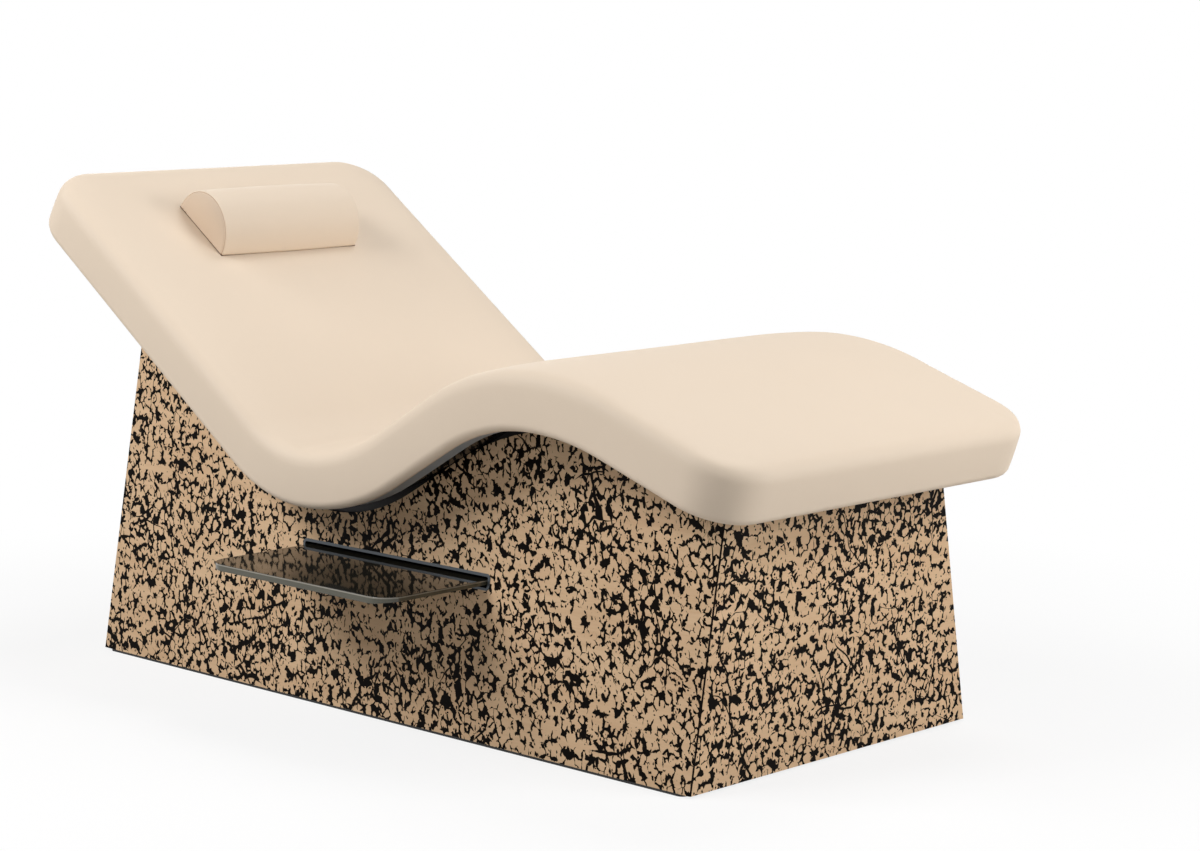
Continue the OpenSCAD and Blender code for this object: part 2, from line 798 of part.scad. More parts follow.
// Half-round cushion with a small crown and a soft, swollen face at each end
module bolster_cushion() {
    half = bolster_length / 2 - bolster_dome;
    e = bolster_edge_r;
    belly = [for (share = [-1 : 0.25 : 1])
        [bolster_r + bolster_crown * (1 - share * share), share * (half - e)]];
    end = concat(
        [for (a = [15 : 15 : 90]) [bolster_r - e + e * cos(a), half - e + e * sin(a)]],
        [for (share = [0.75, 0.5, 0.25, 0])
            [(bolster_r - e) * share, half + bolster_dome * (1 - share * share)]]);
    count = len(end);
    other_end = [for (i = [0 : count - 1]) [end[count - 1 - i][0], -end[count - 1 - i][1]]];
    color([0.87, 0.79, 0.70]) on_back(cushion_n) difference() {
        rotate([90, 0, 0]) rotate_extrude(angle = 180, $fn = 2 * round_fn)
            polygon(concat(other_end, belly, end));
        bolster_board_shape();
    }
}

// Outline of the board let into the cushion's base
module bolster_board_shape() {
    w = 2 * (bolster_r - bolster_board_inset);
    l = bolster_length - 2 * (bolster_dome + bolster_board_inset);
    translate([-w / 2, -l / 2, 0]) cube([w, l, bolster_board_t]);
}

module bolster_board() {
    color([0.62, 0.48, 0.32]) on_back(cushion_n) bolster_board_shape();
}

// Dark pad that keeps the bolster from sliding
module bolster_grip_pad() {
    w = 2 * (bolster_r - grip_pad_inset);
    l = bolster_length - 2 * (bolster_dome + grip_pad_inset);
    color([0.32, 0.24, 0.18]) on_back(mattress_top + soft_gap)
        translate([-w / 2, -l / 2, 0]) cube([w, l, grip_pad_t]);
}

floor_board();
near_side_panel();
far_side_panel();
head_end_panel();
foot_end_panel();
near_side_liner();
far_side_liner();
head_end_liner();
foot_end_liner();
corner_battens();
head_bulkhead();
foot_bulkhead();
shell_cleats();
shell_bolts();
support_shell();
shell_rim();
mattress();
slot_trim();
deck_bearers();
tray_deck();
tray_runners();
runner_linings();
runner_screws();
runner_stops();
rear_buffers();
tray_plate();
tray_stop_bar();
bolster_cushion();
bolster_board();
bolster_grip_pad();
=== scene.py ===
"""Looks of a spa relaxation lounger: printed panels, upholstery, a smoked tray and a plain studio.

Sizes are in metres, in the frame of the construction: +X to the foot end, +Z up.
"""

import math

import bmesh
import bpy
from bpy.props import FloatProperty, FloatVectorProperty, PointerProperty
from mathutils import Matrix, Quaternion, Vector


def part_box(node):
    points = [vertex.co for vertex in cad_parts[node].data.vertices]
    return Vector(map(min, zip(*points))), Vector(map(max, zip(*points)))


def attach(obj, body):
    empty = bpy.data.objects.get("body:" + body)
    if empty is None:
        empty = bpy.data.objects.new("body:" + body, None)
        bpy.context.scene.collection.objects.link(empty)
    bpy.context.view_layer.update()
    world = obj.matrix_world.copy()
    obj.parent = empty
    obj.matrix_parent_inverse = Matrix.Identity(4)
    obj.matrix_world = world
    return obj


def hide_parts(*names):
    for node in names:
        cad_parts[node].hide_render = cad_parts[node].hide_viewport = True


bl_info = {
    "name": "Spa relaxation lounger",
    "version": (1, 0, 0),
    "blender": (4, 5, 0),
    "location": "View3D > Sidebar > Lounger",
    "description": "Dresses the lounger's construction and sets up its studio",
    "category": "Object",
}

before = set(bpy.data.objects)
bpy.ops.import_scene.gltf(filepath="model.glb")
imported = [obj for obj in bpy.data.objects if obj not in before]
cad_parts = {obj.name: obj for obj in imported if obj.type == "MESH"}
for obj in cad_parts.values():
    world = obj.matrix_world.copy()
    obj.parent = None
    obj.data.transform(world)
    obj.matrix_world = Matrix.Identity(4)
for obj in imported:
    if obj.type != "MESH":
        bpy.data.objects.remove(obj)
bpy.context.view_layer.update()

PANELS = ("near_side_panel", "far_side_panel", "head_end_panel", "foot_end_panel")
BLACK_BOARDS = (
    "near_side_liner",
    "far_side_liner",
    "head_end_liner",
    "foot_end_liner",
    "tray_deck",
)
PLAIN_BOARDS = (
    "corner_battens",
    "head_bulkhead",
    "foot_bulkhead",
    "shell_cleats",
    "deck_bearers",
    "bolster_board",
)
PLASTIC_PIECES = ("runner_linings", "runner_stops", "tray_stop_bar")


def screen(red, green, blue):
    """A colour as read from a screen, 0 to 255, in linear values."""
    shares = [c / 255 for c in (red, green, blue)]
    return tuple(c / 12.92 if c <= 0.04045 else ((c + 0.055) / 1.055) ** 2.4 for c in shares)


def length(name, description, default):
    """A size in metres."""
    return FloatProperty(
        name=name, description=description, default=default, unit="LENGTH", precision=4
    )


def power(name, watts):
    """A lamp's power."""
    return FloatProperty(
        name=name, description="Power in watts", default=watts, min=0, unit="POWER"
    )


def share(name, description, default):
    """A share from 0 to 1."""
    return FloatProperty(
        name=name, description=description, default=default, min=0, max=1, subtype="FACTOR"
    )


def angle(name, description, degrees):
    """An angle given in degrees."""
    turn = math.radians(degrees)
    return FloatProperty(name=name, description=description, default=turn, subtype="ANGLE")


def colour(name, description, red, green, blue):
    """A colour given as read from a screen."""
    linear = screen(red, green, blue)
    return FloatVectorProperty(
        name=name, description=description, default=linear, subtype="COLOR", min=0, max=1
    )


# Settings that a user would change


class WaveSettings(bpy.types.PropertyGroup):
    low_x: length("Lowest point along X", "Place of the underside's lowest point", -0.124)
    low_z: length("Lowest point's height", "Height of the underside's lowest point", 0.356)
    back_angle: angle("Back slope", "Slope of the backrest", 35)
    back_radius: length("Back radius", "Radius between the back and the lowest point", 0.320)
    front_radius: length("Front radius", "Radius between the lowest point and the rise", 0.458)
    rise_angle: angle("Rise slope", "Slope under the thighs", 30.2)
    rise_length: length("Rise length", "Straight length of the rise", 0.156)
    knee_back_radius: length("Knee back radius", "Radius before the top of the knee", 0.364)
    knee_front_radius: length("Knee front radius", "Radius after the top of the knee", 0.512)
    leg_angle: angle("Leg slope", "Slope of the leg rest", 18.6)


class MattressSettings(bpy.types.PropertyGroup):
    head_overhang: length("Head overhang", "Reach of the lower edge past the base", 0.149)
    foot_overhang: length("Foot overhang", "Reach of the lower edge past the base", 0.090)
    width: length("Width", "Width of the mattress at its widest", 0.806)
    thickness: length("Thickness", "Thickness at the end of the rounded edge", 0.101)
    crown: length("Crown", "Rise of the top between its edge and its middle", 0.0045)
    crown_run: length("Crown run", "Distance over which the top rises", 0.150)
    top_radius: length("Top edge radius", "Radius of the upper edge", 0.029)
    corner_radius: length("Corner radius", "Radius of the corners in plan", 0.097)
    draft: length("Side draft", "How far the sides draw in towards the lower edge", 0.0013)
    side_swell: length("Side swell", "How far the foam pushes the sides out", 0.0006)
    low_radius: length("Lower edge radius", "Radius of the lower edge", 0.016)
    skirt_flat: length("Skirt flat", "Width of the flat under the lower edge", 0.004)
    recess: length("Recess depth", "Depth of the recess that takes the shell", 0.0243)
    puff: length("Puff", "How far the foam may push the cover out", 0.0014)
    spacing: length("Mesh spacing", "Distance between the mesh's rows", 0.014)


class BolsterSettings(bpy.types.PropertyGroup):
    from_head: length("Distance from head", "Distance of its middle from the head end", 0.2127)
    shift: length("Shift", "Shift of its middle along Y", -0.0095)
    foot: length("Base height", "Height of its base over the mattress's underside", 0.1079)
    radius: length("Radius", "Radius of the half round", 0.0753)
    width: length("Length", "Length from seam to seam", 0.335)
    crown: length("Crown", "Extra radius in the middle", 0.002)
    edge_radius: length("Edge radius", "Radius of the edge at each end", 0.004)
    seam_depth: length("Seam depth", "Depth of the sewn line at each end", 0.0010)
    seam_width: length("Seam width", "Width of the sewn line at each end", 0.0018)
    seam_turn: angle("Seam turn", "Place of the sewn line round the edge, from the end face", 20)
    dome: length("End dome", "How far the end faces swell", 0.006)
    pad_inset: length("Pad inset", "Distance from the cushion's edge to the grip pad", 0.0004)
    pad_thickness: length("Pad thickness", "Thickness of the grip pad", 0.0022)
    pad_edge: length("Pad edge", "Width of the grip pad's eased edges", 0.0005)


class TraySettings(bpy.types.PropertyGroup):
    edge_radius: length("Edge radius", "Radius of the plate's polished edges", 0.0008)
    corner_radius: length("Corner radius", "Radius of the front corners", 0.040)
    nosing_drop: length("Nosing drop", "How far the front lip hangs under the plate", 0.0034)
    nosing_width: length("Nosing width", "Width of the front lip", 0.008)
    nosing_turn: angle("Nosing turn", "Turn of each corner that the lip follows", 60)
    # Height of the painted highlight along the top of the plate's edges
    highlight_line: length("Light line", "Height of the light line along the plate's edge", 0.0024)
    trim_edge: length("Trim edge radius", "Radius of the slot trim's edges", 0.0004)


class ColourSettings(bpy.types.PropertyGroup):
    upholstery: colour("Upholstery", "Cream synthetic leather", 232, 214, 193)
    seam: colour("Seam", "Shaded leather in the sewn lines", 196, 168, 144)
    # Bolster ends: the upholstery darkened with painted shade, standing in for the shade on the end
    # faces
    bolster_end_shade: colour("Bolster ends", "Darker leather of the bolster's ends", 211, 190, 168)
    wood_light: colour("Light wood", "Light grain of the printed panels", 228, 196, 160)
    wood_dark: colour("Dark wood", "Dark grain of the printed panels", 207, 172, 136)
    print_black: colour("Print", "Black of the printed strokes and flecks", 10, 6, 4)
    core: colour("Core", "Dark core of the printed panels at their edges", 20, 16, 14)
    plain_wood: colour("Plain wood", "Battens, bulkheads and bearers", 196, 158, 112)
    board: colour("Black board", "Black-stained inner boards", 32, 29, 28)
    shell: colour("Shell", "Glossy dark plate under the mattress", 30, 28, 28)
    # Rim: a real grey strip, made lighter with painted light to make up for the shade under the
    # mattress
    rim: colour("Rim", "Grey strip along the plate's edge", 150, 162, 172)
    trim: colour("Trim", "Blue-grey metal round the slot", 80, 84, 88)
    tray: colour("Tray", "Smoked tray", 38, 36, 30)
    # Tray edge: painted light, a grey-green that stands in for the light through the tray's edges
    tray_edge_glow: colour("Tray edge", "Polished edge of the tray", 82, 80, 66)
    # Painted highlight: a light line along the top of the tray's edges
    tray_edge_highlight: colour("Tray edge, top", "Light line along the tray's edge", 148, 143, 130)
    zinc: colour("Zinc", "Bolts and screws", 160, 163, 168)
    channel: colour("Channel", "Runners of the tray", 178, 181, 184)
    black: colour("Black plastic", "Linings, stops and floor rim", 24, 24, 24)
    grip: colour("Grip pad", "Brown pad under the bolster", 84, 54, 36)


class StudioSettings(bpy.types.PropertyGroup):
    lens: FloatProperty(
        name="Lens", description="Focal length in millimetres", default=87.5, unit="CAMERA"
    )
    azimuth: angle("Azimuth", "Direction of the camera round the lounger", 43.617)
    elevation: angle("Elevation", "Height of the camera's direction over the horizon", 8.342)
    roll: angle("Roll", "Turn of the camera about its own axis", 0.3154)
    place: FloatVectorProperty(
        name="Camera place",
        description="Where the camera stands",
        default=(3.6855, -3.6433, 1.2336),
        subtype="TRANSLATION",
        unit="LENGTH",
    )
    ambient: share("Ambient", "Strength of the even light", 0.08)
    lamp_distance: length("Lamp distance", "Distance of each lamp from the lounger", 5.2)
    lamp_aim: length("Lamp aim", "Height of the point at which the lamps are aimed", 0.4)
    lamp_size: length("Lamp size", "Side of each square lamp", 1.8)
    near_high: power("High lamp on the near side", 96)
    near_head: power("High lamp between the near side and the head", 76)
    near_low: power("Low lamp on the near side", 23)
    foot_high: power("High lamp at the foot", 77)
    foot_low: power("Low lamp at the foot", 90)
    far_top: power("Top lamp towards the far side", 66)
    far_low: power("Low lamp behind the head", 26)
    floor: colour("Floor", "Colour of the floor as the lounger sees it", 190, 189, 187)
    floor_glow: share("Floor glow", "Pure white in the floor that takes the shadow", 0.8)
    floor_reach: length("Floor reach", "Distance from the middle of the floor to its edges", 30)
    shadow_reach: length("Shadow reach", "Distance over which the floor shows the shadow", 1.5)
    floor_shown: colour("Floor shown", "Colour of the floor as the camera sees it", 252, 252, 252)


# Node expressions and finishes


class Number:
    """A socket of a node. Python sums with it add Math nodes beside that node."""

    def __init__(self, nodes, socket):
        self.nodes = nodes
        self.socket = socket

    def maths(self, operation, *values):
        """One Math node over the values."""
        return self.nodes.node("ShaderNodeMath", {"operation": operation}, dict(enumerate(values)))

    def __add__(self, other):
        return self.maths("ADD", self, other)

    __radd__ = __add__

    def __sub__(self, other):
        return self.maths("SUBTRACT", self, other)

    def __rsub__(self, other):
        return self.maths("SUBTRACT", other, self)

    def __mul__(self, other):
        return self.maths("MULTIPLY", self, other)

    __rmul__ = __mul__

    def __abs__(self):
        return self.maths("ABSOLUTE", self)

    def higher(self, other):
        """The higher of the two."""
        return self.maths("MAXIMUM", self, other)

    def lower(self, other):
        """The lower of the two."""
        return self.maths("MINIMUM", self, other)

    def above(self, level, softness):
        """0 below the level and 1 above it, with a soft step between."""
        settings = {"interpolation_type": "SMOOTHSTEP"}
        inputs = {"Value": self, "From Min": level - softness, "From Max": level + softness}
        return self.nodes.node("ShaderNodeMapRange", settings, inputs)


class Nodes:
    """The nodes of a material or of the world, with one method that adds any node."""

    def __init__(self, tree):
        self.tree = tree

    def feed(self, socket, value):
        """Links a Number to a socket, or sets the socket to a plain value."""
        if isinstance(value, Number):
            self.tree.links.new(value.socket, socket)
        elif socket.type == "RGBA":
            socket.default_value = (*value[:3], 1)
        else:
            socket.default_value = value

    def node(self, kind, settings=None, inputs=None, output=0):
        """Adds a node of a kind, with its settings before its inputs, and gives one output."""
        made = self.tree.nodes.new(kind)
        for name, value in (settings or {}).items():
            setattr(made, name, value)
        for name, value in (inputs or {}).items():
            self.feed(made.inputs[name], value)
        return Number(self, made.outputs[output])

    def blend(self, factor, low, high, how="MIX"):
        """A colour between low and high."""
        settings = {"data_type": "RGBA", "blend_type": how}
        return self.node("ShaderNodeMix", settings, {0: factor, 6: low, 7: high}, 2)

    def toned(self, base, tone):
        """A colour made lighter or darker by a tone round 1."""
        return self.blend(1, base, self.vector(tone, tone, tone), "MULTIPLY")

    def seen_by(self, ray):
        """1 where a kind of ray, such as Is Camera Ray, sees the surface."""
        return self.node("ShaderNodeLightPath", output=ray)

    def seen_clearly(self):
        """1 where the camera sees the surface, straight or through a mirror or clear piece."""
        mirrored = self.seen_by("Is Glossy Ray").higher(self.seen_by("Is Transmission Ray"))
        return self.seen_by("Is Camera Ray").higher(mirrored)

    def place(self):
        """Place on the piece at rest, in metres, as X, Y and Z."""
        return self.node("ShaderNodeTexCoord", output="Object")

    def parts(self, vector):
        """X, Y and Z of a vector."""
        return [self.node("ShaderNodeSeparateXYZ", inputs={0: vector}, output=i) for i in range(3)]

    def vector(self, x, y, z):
        """A vector or colour of three values."""
        return self.node("ShaderNodeCombineXYZ", inputs={0: x, 1: y, 2: z})

    def noise(self, vector, scale, detail=2.0, roughness=0.5, output="Fac"):
        """Soft noise round 0.5, with scale waves to the metre."""
        inputs = {"Vector": vector, "Scale": scale, "Detail": detail, "Roughness": roughness}
        return self.node("ShaderNodeTexNoise", inputs=inputs, output=output)

    def cells(self, vector, scale, feature="F1"):
        """Distance within cells, from their middles or as the feature says."""
        inputs = {"Vector": vector, "Scale": scale}
        return self.node("ShaderNodeTexVoronoi", {"feature": feature}, inputs, "Distance")

    def stray(self, vector, scale, reach):
        """A flat vector that wanders about its own place, up to about half the reach each way."""
        turn = self.noise(vector, scale, 2, output="Color")
        inputs = {0: turn, 1: (reach, reach, 0), 2: vector}
        return self.node("ShaderNodeVectorMath", {"operation": "MULTIPLY_ADD"}, inputs)


class Finish(Nodes):
    """A material on one main shader."""

    def __init__(self, name, roughness, metallic=0.0, specular=0.5):
        self.material = bpy.data.materials.new(name)
        self.material.use_nodes = True
        super().__init__(self.material.node_tree)
        self.shader = self.tree.nodes["Principled BSDF"]
        self.set(Roughness=roughness, Metallic=metallic, Specular_IOR_Level=specular)

    def set(self, **values):
        """Sets the shader's sockets, named with _ for each space."""
        for name, value in values.items():
            self.feed(self.shader.inputs[name.replace("_", " ")], value)

    def bump(self, height, distance):
        """Lets a height from 0 to 1, worth a distance in metres, shape the light on the surface."""
        inputs = {"Height": height, "Distance": distance, "Strength": 1.0}
        self.set(Normal=self.node("ShaderNodeBump", inputs=inputs))


# Wood grain: waves to the metre along it and up the panel
STREAK_WAVES = (2.5, 60)
FIBRE_WAVES = (18, 380)
CLOUD_WAVES = (5, 9)
# Print: its squeeze upwards, and the least part of a face's normal along X or Y by which the face
# is an outer one
PRINT_SQUEEZE = 0.85
OUTER_FACE = 0.88
# Marks of the print. A mark shows where a soft noise passes its level, more so where the broad
# noise is high. It then grows by its gain, up to its most, from the edges or middles of cells.
STROKES = {
    "noise": 68,
    "level": 0.425,
    "broad_part": 0.35,
    "gain": 0.95,
    "most": 0.21,
    "cells": 74,
    "feature": "DISTANCE_TO_EDGE",
    "softness": 0.012,
}
FLECKS = {
    "noise": 78,
    "level": 0.39,
    "broad_part": 0.2,
    "gain": 1.6,
    "most": 0.28,
    "cells": 134,
    "feature": "F1",
    "softness": 0.025,
}
STEMS = {
    "noise": 7,
    "level": 0.49,
    "broad_part": 0,
    "gain": 0.12,
    "most": 0.011,
    "cells": 8,
    "feature": "DISTANCE_TO_EDGE",
    "softness": 0.002,
}


def dress(nodes, finish):
    """Gives pieces of the construction their finish."""
    for node in nodes:
        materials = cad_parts[node].data.materials
        materials.clear()
        materials.append(finish.material)


def upholstery(base):
    """Smooth synthetic leather with a fine pebble grain."""
    finish = Finish("cream_upholstery", 0.62, specular=0.32)
    place = finish.place()
    drift = finish.noise(place, 5, 2) - 0.5
    grain = finish.cells(place, 900, "SMOOTH_F1")
    wear = finish.noise(place, 60, 3) - 0.5
    tinted = finish.toned(base, 1 + drift * 0.03 + wear * 0.015)
    finish.set(Base_Color=tinted, Roughness=0.60 + wear * 0.12)
    finish.bump(grain, 0.00012)
    return finish


def streaky(finish, along, up, waves, detail, roughness=0.5):
    """Noise drawn out along the grain."""
    return finish.noise(finish.vector(along * waves[0], up * waves[1], 0), 1, detail, roughness)


def wood_grain(finish, along, z, flat):
    """Level streaks of the wood, and the share of dark grain, on a panel laid flat."""
    level = z + finish.noise(flat, 3, 2) * 0.03
    streaks = streaky(finish, along, level, STREAK_WAVES, 4, 0.62)
    fibres = streaky(finish, along, level, FIBRE_WAVES, 2)
    clouds = streaky(finish, along, z, CLOUD_WAVES, 3)
    return streaks, (streaks * 0.42 + fibres * 0.18 + clouds * 0.4).above(0.5, 0.24)


def marks(
    finish, shown, drawn, broad, noise, level, broad_part, gain, most, cells, feature, softness
):
    """One kind of mark: shown by a noise over one vector and drawn in cells over another."""
    passed = finish.noise(shown, noise, 1) - level + broad * broad_part
    reach = (passed * gain).lower(most)
    return (reach - finish.cells(drawn, cells, feature)).above(0, softness)


def printed_ink(finish, flat):
    """Ink of the print on a panel laid flat: broken strokes, flecks and thin winding stems."""
    broad = finish.noise(flat, 7, 2) - 0.5
    ragged = finish.stray(flat, 150, 0.0062)
    winding = finish.stray(flat, 10, 0.09)
    strokes = marks(finish, ragged, ragged, broad, **STROKES)
    flecks = marks(finish, flat, ragged, broad, **FLECKS)
    stems = marks(finish, flat, winding, broad, **STEMS)
    return strokes.higher(flecks).higher(stems)


def printed_wood(colours):
    """Light wood with a level grain and a black print on its outer faces, dark at its cut edges."""
    finish = Finish("printed_wood", 0.45, specular=0.03)
    x, y, z = finish.parts(finish.place())
    along = x + y
    flat = finish.vector(along, z * PRINT_SQUEEZE, 0)
    streaks, grain = wood_grain(finish, along, z, flat)
    ink = printed_ink(finish, flat)
    wood = finish.blend(grain, colours.wood_light, colours.wood_dark)
    faces = finish.parts(finish.node("ShaderNodeNewGeometry", output="True Normal"))
    outer = abs(faces[0]).higher(abs(faces[1])).above(OUTER_FACE, 0.02)
    printed = finish.blend(ink, wood, colours.print_black)
    finish.set(
        Base_Color=finish.blend(outer, colours.core, printed),
        Roughness=0.46 - ink * 0.06 + streaks * 0.06,
    )
    finish.bump(streaks * 0.4 + ink * outer, 0.00005)
    return finish


def textured(finish, base, texture, tone, roughness, relief):
    """Varies a finish by a texture from 0 to 1, which is worth a relief in metres.

    Tone and roughness are each a middle value and the spread round it.
    """
    drift = texture - 0.5
    finish.set(
        Base_Color=finish.toned(base, tone[0] + drift * tone[1]),
        Roughness=roughness[0] + drift * roughness[1],
    )
    finish.bump(texture, relief)
    return finish


def plain_wood(colours):
    """Raw planed wood."""
    finish = Finish("plain_wood", 0.65, specular=0.3)
    x, y, z = finish.parts(finish.place())
    rings = finish.noise(finish.vector((x + y) * 3, z * 60, (x - y) * 60), 1, 4, 0.6)
    return textured(finish, colours.plain_wood, rings, (1.01, 0.3), (0.66, 0.12), 0.0002)


def black_board(colours):
    """Black-stained board with a faint grain."""
    finish = Finish("black_board", 0.55, specular=0.35)
    fibres = finish.noise(finish.place(), 160, 3, 0.6)
    return textured(finish, colours.board, fibres, (1, 0.4), (0.56, 0.16), 0.0001)


def lacquer(name, base, roughness):
    """Glossy laminate with the soft ripple of a polished board."""
    finish = Finish(name, roughness, specular=0.55)
    ripple = finish.noise(finish.place(), 22, 2)
    return textured(finish, base, ripple, (1, 0.16), (roughness, 0.08), 0.0006)


def metal(name, base, roughness):
    """Metal with fine brush lines along its length."""
    finish = Finish(name, roughness, metallic=1.0)
    x, y, z = finish.parts(finish.place())
    lines = finish.noise(finish.vector(x * 12, y * 900, z * 900), 1, 2)
    return textured(finish, base, lines, (1, 0.14), (roughness, 0.12), 0.00003)


def moulded(name, base, roughness):
    """Moulded plastic or rubber with a fine texture."""
    finish = Finish(name, roughness, specular=0.4)
    speckle = finish.noise(finish.place(), 1400, 2)
    return textured(finish, base, speckle, (1, 0.24), (roughness, 0.1), 0.00008)


def smoked(colours, highlight_line):
    """Smoked tray: dark and mirror-like on its faces, painted grey-green at its edges for the light
    through them, with a painted highlight line along their top.
    """
    finish = Finish("smoked_tray", 0.04)
    place = finish.place()
    smudge = finish.noise(place, 30, 3)
    normal = finish.node("ShaderNodeNewGeometry", output="Normal")
    level = abs(finish.parts(normal)[2]).above(0.5, 0.4)
    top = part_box("tray_plate")[1].z
    # Painted highlight: a light band along the top of the edges
    lit = finish.parts(place)[2].above(top - highlight_line, 0.0006)
    # Edge colour: painted light through the edges, with the painted highlight along their top
    edge = finish.blend(lit, colours.tray_edge_glow, colours.tray_edge_highlight)
    finish.set(
        Base_Color=finish.blend(level, edge, colours.tray),
        Roughness=0.02 + smudge * 0.05 + (1 - level) * 0.12,
        IOR=1.52,
    )
    finish.bump(smudge, 0.00002)
    return finish


# Shapes

# Mattress: steps of each rounding, of its sides and across it, the least radius of a ring's
# corners, and how far the even rows of a ring start from the crown's run
ARC_STEPS = 10
SIDE_STEPS = 8
ACROSS = 44
LEAST_CORNER = 0.02
STRAIGHT_START = 0.03
# Width and height of the ease round the mattress's recess
RECESS_EASE = (0.001, 0.003)
# Cloth of the mattress: frames, forces, and the share of the cap by which it starts inside. Its
# hold is HOLD_START at HOLD_SHIFT outside the sides and falls by 1 with each edge radius inwards
CLOTH_FRAMES = 20
CLOTH_QUALITY = 6
CLOTH_PRESSURE = 4
CLOTH_STIFFNESS = 25
CLOTH_BENDING = 4
CLOTH_START = 0.6
HOLD_START = 1.6
HOLD_SHIFT = 0.02
# Bolster: rings of an end and of its edge, steps round the barrel and over the base, the
# barrel's spacing, and the share of seam from which a face counts as sewn
END_RINGS = 14
EDGE_RINGS = 24
BARREL_STEPS = 72
BASE_STEPS = 14
BARREL_SPACING = 0.010
SEWN_SHARE = 0.3
# Makes the largest swell of an end equal to its dome: 1 over the largest r * (1 - r * r)
DOME_SCALE = 2.6
# A distance too small to see
NEARLY = 0.0001
# Rounded copies: distance at which points are joined, and angles at flat and at sharp edges
JOIN_DISTANCE = 0.00001
FLAT_ANGLE = math.radians(1)
SHARP_ANGLE = math.radians(35)
# Tray's lip: steps round a corner, spacing, set back and the least share of its drop
TURN_STEPS = 14
NOSING_SPACING = 0.05
NOSING_SET_BACK = NEARLY
LEAST_DROP = 0.02


class Wave:
    """The mattress's underside from the side: straights and arcs from the head to the foot."""

    def __init__(self, sizes):
        """Lists its stretches: where each begins and is measured from, point, heading and bend."""
        back, rise, leg = sizes.back_angle, sizes.rise_angle, sizes.leg_angle
        start = Vector((sizes.low_x - sizes.back_radius * math.sin(back), sizes.low_z))
        start.y += sizes.back_radius * (1 - math.cos(back))
        runs = [
            (sizes.back_radius * back, 1 / sizes.back_radius),
            (sizes.front_radius * rise, 1 / sizes.front_radius),
            (sizes.rise_length, 0),
            (sizes.knee_back_radius * rise, -1 / sizes.knee_back_radius),
            (sizes.knee_front_radius * leg, -1 / sizes.knee_front_radius),
            (math.inf, 0),
        ]
        self.stretches = [(-math.inf, 0.0, start, -back, 0.0)]
        at, point, heading = 0.0, start, -back
        for run, bend in runs:
            self.stretches.append((at, at, point, heading, bend))
            if run < math.inf:
                point, heading = self.walk(point, heading, bend, run)
                at += run
        self.leg_start = at

    @staticmethod
    def walk(point, heading, bend, run):
        """Point and heading after a run along a straight or an arc."""
        turned = heading + bend * run
        if bend == 0:
            return point + run * Vector((math.cos(heading), math.sin(heading))), turned
        step = Vector((math.sin(turned) - math.sin(heading), math.cos(heading) - math.cos(turned)))
        return point + step / bend, turned

    def pose(self, s):
        """Point and heading at length s."""
        _, at, point, heading, bend = [stretch for stretch in self.stretches if stretch[0] <= s][-1]
        return self.walk(point, heading, bend, s - at)

    def point(self, s, y, n):
        """Point at length s along the wave, y across it and n above it."""
        foot, heading = self.pose(s)
        return Vector((foot.x - n * math.sin(heading), y, foot.y + n * math.cos(heading)))

    def length_at(self, x, s):
        """Length at which the straight that holds s reaches x."""
        foot, heading = self.pose(s)
        return s + (x - foot.x) / math.cos(heading)


def swell(cover, cap):
    """Lets the foam push a cover out by cloth simulation.

    The cover starts a share of the cap inside its shape, and no point moves much past the cap. The
    mesh's first group of weights holds the points that stay.
    """
    scene = bpy.context.scene
    cover.vertex_groups.new(name="held")
    points = cover.data.vertices
    shape = [v.co.copy() for v in points]
    free = [1 - min(1, sum(g.weight for g in v.groups)) for v in points]
    for v, normal, loose in zip(points, [v.normal.copy() for v in points], free):
        v.co -= normal * (CLOTH_START * cap * loose)
    start = [v.co.copy() for v in points]
    cloth = cover.modifiers.new("cloth", "CLOTH")
    cloth.settings.quality = CLOTH_QUALITY
    cloth.settings.tension_stiffness = CLOTH_STIFFNESS
    cloth.settings.compression_stiffness = CLOTH_STIFFNESS
    cloth.settings.bending_stiffness = CLOTH_BENDING
    cloth.settings.vertex_group_mass = "held"
    cloth.settings.use_pressure = True
    cloth.settings.uniform_pressure_force = CLOTH_PRESSURE
    cloth.settings.effector_weights.gravity = 0
    cloth.point_cache.frame_end = CLOTH_FRAMES
    for number in range(1, CLOTH_FRAMES + 1):
        scene.frame_set(number)
    shaped = cover.evaluated_get(bpy.context.evaluated_depsgraph_get())
    end = [v.co.copy() for v in shaped.data.vertices]
    cover.modifiers.remove(cloth)
    cover.vertex_groups.clear()
    scene.frame_set(1)
    for v, first, last in zip(cover.data.vertices, start, end):
        step = last - first
        if step.length > 0:
            v.co = first + step * (cap * math.tanh(step.length / cap) / step.length)
    moves = [(v.co - s).length for v, s in zip(cover.data.vertices, shape)]
    print("swell", cover.name, "largest change of shape", round(max(moves) * 1000, 2), "mm")


def piece_from(mesh, finishes, body="base", puff=0):
    """Links a mesh as a piece of its own name that rides on a body, and lets its foam puff it."""
    made = bpy.data.objects.new(mesh.name, mesh)
    bpy.context.scene.collection.objects.link(made)
    for finish in finishes:
        mesh.materials.append(finish.material)
    if puff:
        swell(made, puff)
    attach(made, body)
    return made


def finished_mesh(drawn, name, place=None):
    """Mesh data of a drawn mesh, which ends with it. A place turns and moves it first."""
    if place is not None:
        drawn.transform(place)
    data = bpy.data.meshes.new(name)
    drawn.to_mesh(data)
    drawn.free()
    return data


def quarter_turn():
    """Angles from 0 to 90 degrees, both included."""
    return [math.pi / 2 * k / ARC_STEPS for k in range(ARC_STEPS + 1)]


def smooth(part):
    """A part from 0 to 1, eased at both ends."""
    return part * part * (3 - 2 * part)


def spread(first, last, spacing):
    """Even steps from first to last, about spacing apart, both ends included."""
    count = max(1, math.ceil(abs(last - first) / spacing))
    return [first + (last - first) * k / count for k in range(count + 1)]


